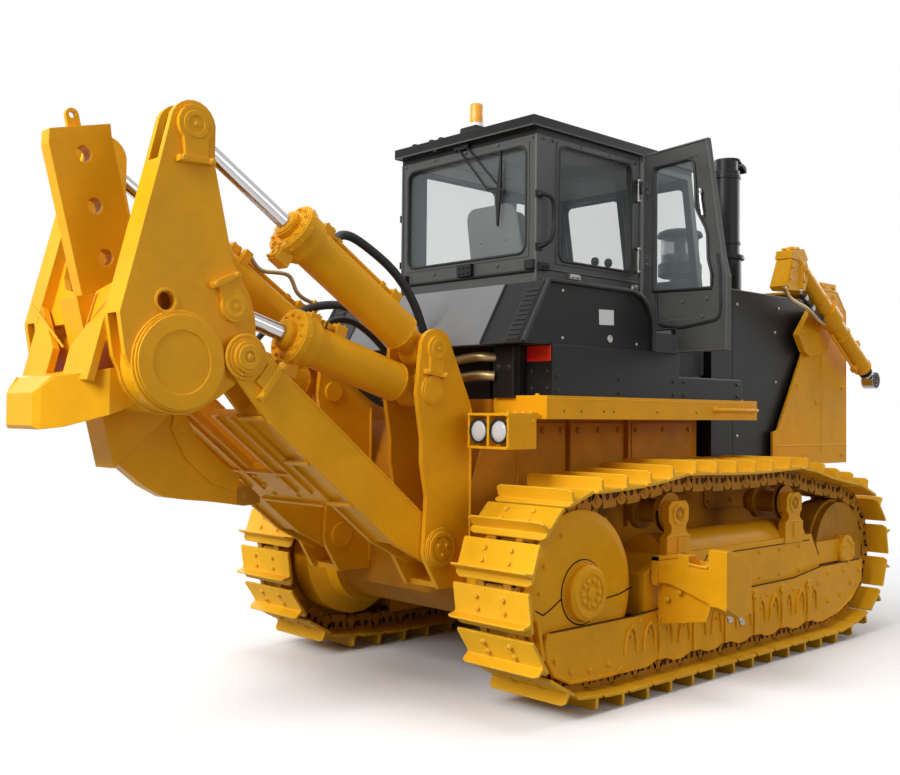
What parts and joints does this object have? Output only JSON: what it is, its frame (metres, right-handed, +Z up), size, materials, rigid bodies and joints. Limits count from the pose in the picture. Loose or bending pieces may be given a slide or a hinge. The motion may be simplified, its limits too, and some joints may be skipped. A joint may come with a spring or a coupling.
{
  "type": "crawler bulldozer with ripper",
  "caption": "Crawler bulldozer with enclosed cab and rear single-shank ripper; blade and push arms not fitted, blade lift cylinders bare.",
  "frame": {"origin": "on the ground, at the centre of the bounding box in plan", "axes": "+X to the machine's front, +Y to its left, +Z up"},
  "size_m": [7.015, 3.52, 3.751],
  "materials": {
    "yellow_paint": "semi-gloss",
    "track_paint": "semi-gloss",
    "black_paint": "satin",
    "grey_paint": "satin",
    "chrome": "polished",
    "glass": "clear",
    "lamp_glass": "clear",
    "amber": "gloss",
    "seat_cloth": "matte",
    "steel": "satin"
  },
  "bodies": {
    "chassis": {"main_frame": "yellow_paint", "frame_supports": "yellow_paint", "track_left": "track_paint", "track_right": "track_paint", "sprockets": "yellow_paint", "final_drives": "yellow_paint", "track_frame_left": "yellow_paint", "track_frame_right": "yellow_paint", "track_rollers": "yellow_paint", "carrier_rollers": "yellow_paint", "idlers": "yellow_paint", "ripper_brackets": "yellow_paint", "hood": "black_paint", "radiator_guard": "yellow_paint", "grille": "black_paint", "radiator": "black_paint", "engine": "black_paint", "exhaust": "black_paint", "precleaner": "black_paint", "lift_yokes": "yellow_paint", "rear_deck": "grey_paint", "side_covers": "black_paint", "side_tanks": "black_paint", "rear_tank": "black_paint", "fenders": "yellow_paint", "lamp_boxes": "yellow_paint", "rear_lamps": "lamp_glass", "cab": "black_paint", "cab_roof": "black_paint", "cab_glass": "glass", "cab_consoles": "black_paint", "cab_mounts": "black_paint", "seat": "seat_cloth", "beacon_base": "black_paint", "beacon": "amber", "grab_rails": "black_paint"},
    "ripper_arm": {"ripper_arm": "yellow_paint"},
    "beam_pins": {"beam_pins": "yellow_paint"},
    "ripper_beam": {"ripper_beam": "yellow_paint", "ripper_shank": "yellow_paint", "ripper_tip": "yellow_paint", "shank_pin": "steel"},
    "tilt_pins": {"tilt_pins": "yellow_paint"},
    "tilt_barrels": {"tilt_barrels": "yellow_paint"},
    "tilt_rods": {"tilt_rods": "chrome"},
    "lift_barrels": {"lift_barrels": "yellow_paint"},
    "lift_rods": {"lift_rods": "chrome"},
    "door_right": {"door_right": "black_paint", "door_glass_right": "glass"},
    "door_left": {"door_left": "black_paint", "door_glass_left": "glass"},
    "blade_barrel_right": {"blade_lift_barrel_right": "yellow_paint"},
    "blade_barrel_left": {"blade_lift_barrel_left": "yellow_paint"},
    "blade_rod_right": {"blade_lift_rod_right": "chrome"},
    "blade_rod_left": {"blade_lift_rod_left": "chrome"}
  },
  "joints": [
    {"name": "ripper_lift", "type": "hinge", "parent": "chassis", "child": "ripper_arm", "pos_m": [-1.3425, 0, 0.88], "axis": [0, -1, 0], "range_deg": [0, 65]},
    {"name": "ripper_level", "type": "hinge", "parent": "ripper_arm", "child": "beam_pins", "pos_m": [-2.6285, 0, 1.915], "axis": [0, -1, 0], "range_deg": [-69.85, 0.2]},
    {"name": "ripper_tilt", "type": "hinge", "parent": "beam_pins", "child": "ripper_beam", "pos_m": [-2.6285, 0, 1.915], "axis": [0, 1, 0], "range_deg": [-4, 15]},
    {"name": "tilt_pin_swing", "type": "hinge", "parent": "chassis", "child": "tilt_pins", "pos_m": [-1.3835, 0, 2.014], "axis": [0, -1, 0], "range_deg": [-0.2, 57.12]},
    {"name": "tilt_barrel_swing", "type": "hinge", "parent": "tilt_pins", "child": "tilt_barrels", "pos_m": [-1.3835, 0, 2.014], "axis": [0, 1, 0], "range_deg": [-2, 6.95]},
    {"name": "tilt_rod_slide", "type": "slide", "parent": "tilt_barrels", "child": "tilt_rods", "axis": [-0.8373, 0, 0.5467], "range_m": [-0.22, 0.062]},
    {"name": "lift_barrel_swing", "type": "hinge", "parent": "chassis", "child": "lift_barrels", "pos_m": [-1.4195, 0, 1.779], "axis": [0, -1, 0], "range_deg": [-0.2, 63.19]},
    {"name": "lift_rod_slide", "type": "slide", "parent": "lift_barrels", "child": "lift_rods", "axis": [-0.9573, 0, 0.2892], "range_m": [-0.005, 0.697]},
    {"name": "door_right_hinge", "type": "hinge", "parent": "chassis", "child": "door_right", "pos_m": [0.4975, -0.661, 2.8], "axis": [0, 0, 1], "range_deg": [0, 100]},
    {"name": "door_left_hinge", "type": "hinge", "parent": "chassis", "child": "door_left", "pos_m": [0.4975, 0.661, 2.8], "axis": [0, 0, 1], "range_deg": [0, 100]},
    {"name": "blade_cylinder_right", "type": "hinge", "parent": "chassis", "child": "blade_barrel_right", "pos_m": [2.7575, -0.905, 2.425], "axis": [0, 1, 0], "range_deg": [-12, 25]},
    {"name": "blade_rod_right", "type": "slide", "parent": "blade_barrel_right", "child": "blade_rod_right", "axis": [0.8307, 0, -0.5567], "range_m": [0, 1.1]},
    {"name": "blade_cylinder_left", "type": "hinge", "parent": "chassis", "child": "blade_barrel_left", "pos_m": [2.7575, 0.905, 2.425], "axis": [0, 1, 0], "range_deg": [-12, 25]},
    {"name": "blade_rod_left", "type": "slide", "parent": "blade_barrel_left", "child": "blade_rod_left", "axis": [0.8307, 0, -0.5567], "range_m": [0, 1.1]}
  ],
  "couplings": [
    {"joint": "ripper_level", "follows": "ripper_lift", "ratio": -1.0716},
    {"joint": "tilt_pin_swing", "follows": "ripper_lift", "ratio": 0.8757},
    {"joint": "lift_barrel_swing", "follows": "ripper_lift", "ratio": 0.969},
    {"joint": "lift_rod_slide", "follows": "ripper_lift", "m_per_rad": 0.61},
    {"joint": "tilt_barrel_swing", "follows": "ripper_tilt", "ratio": 0.45},
    {"joint": "tilt_rod_slide", "follows": "ripper_tilt", "m_per_rad": -0.82}
  ]
}
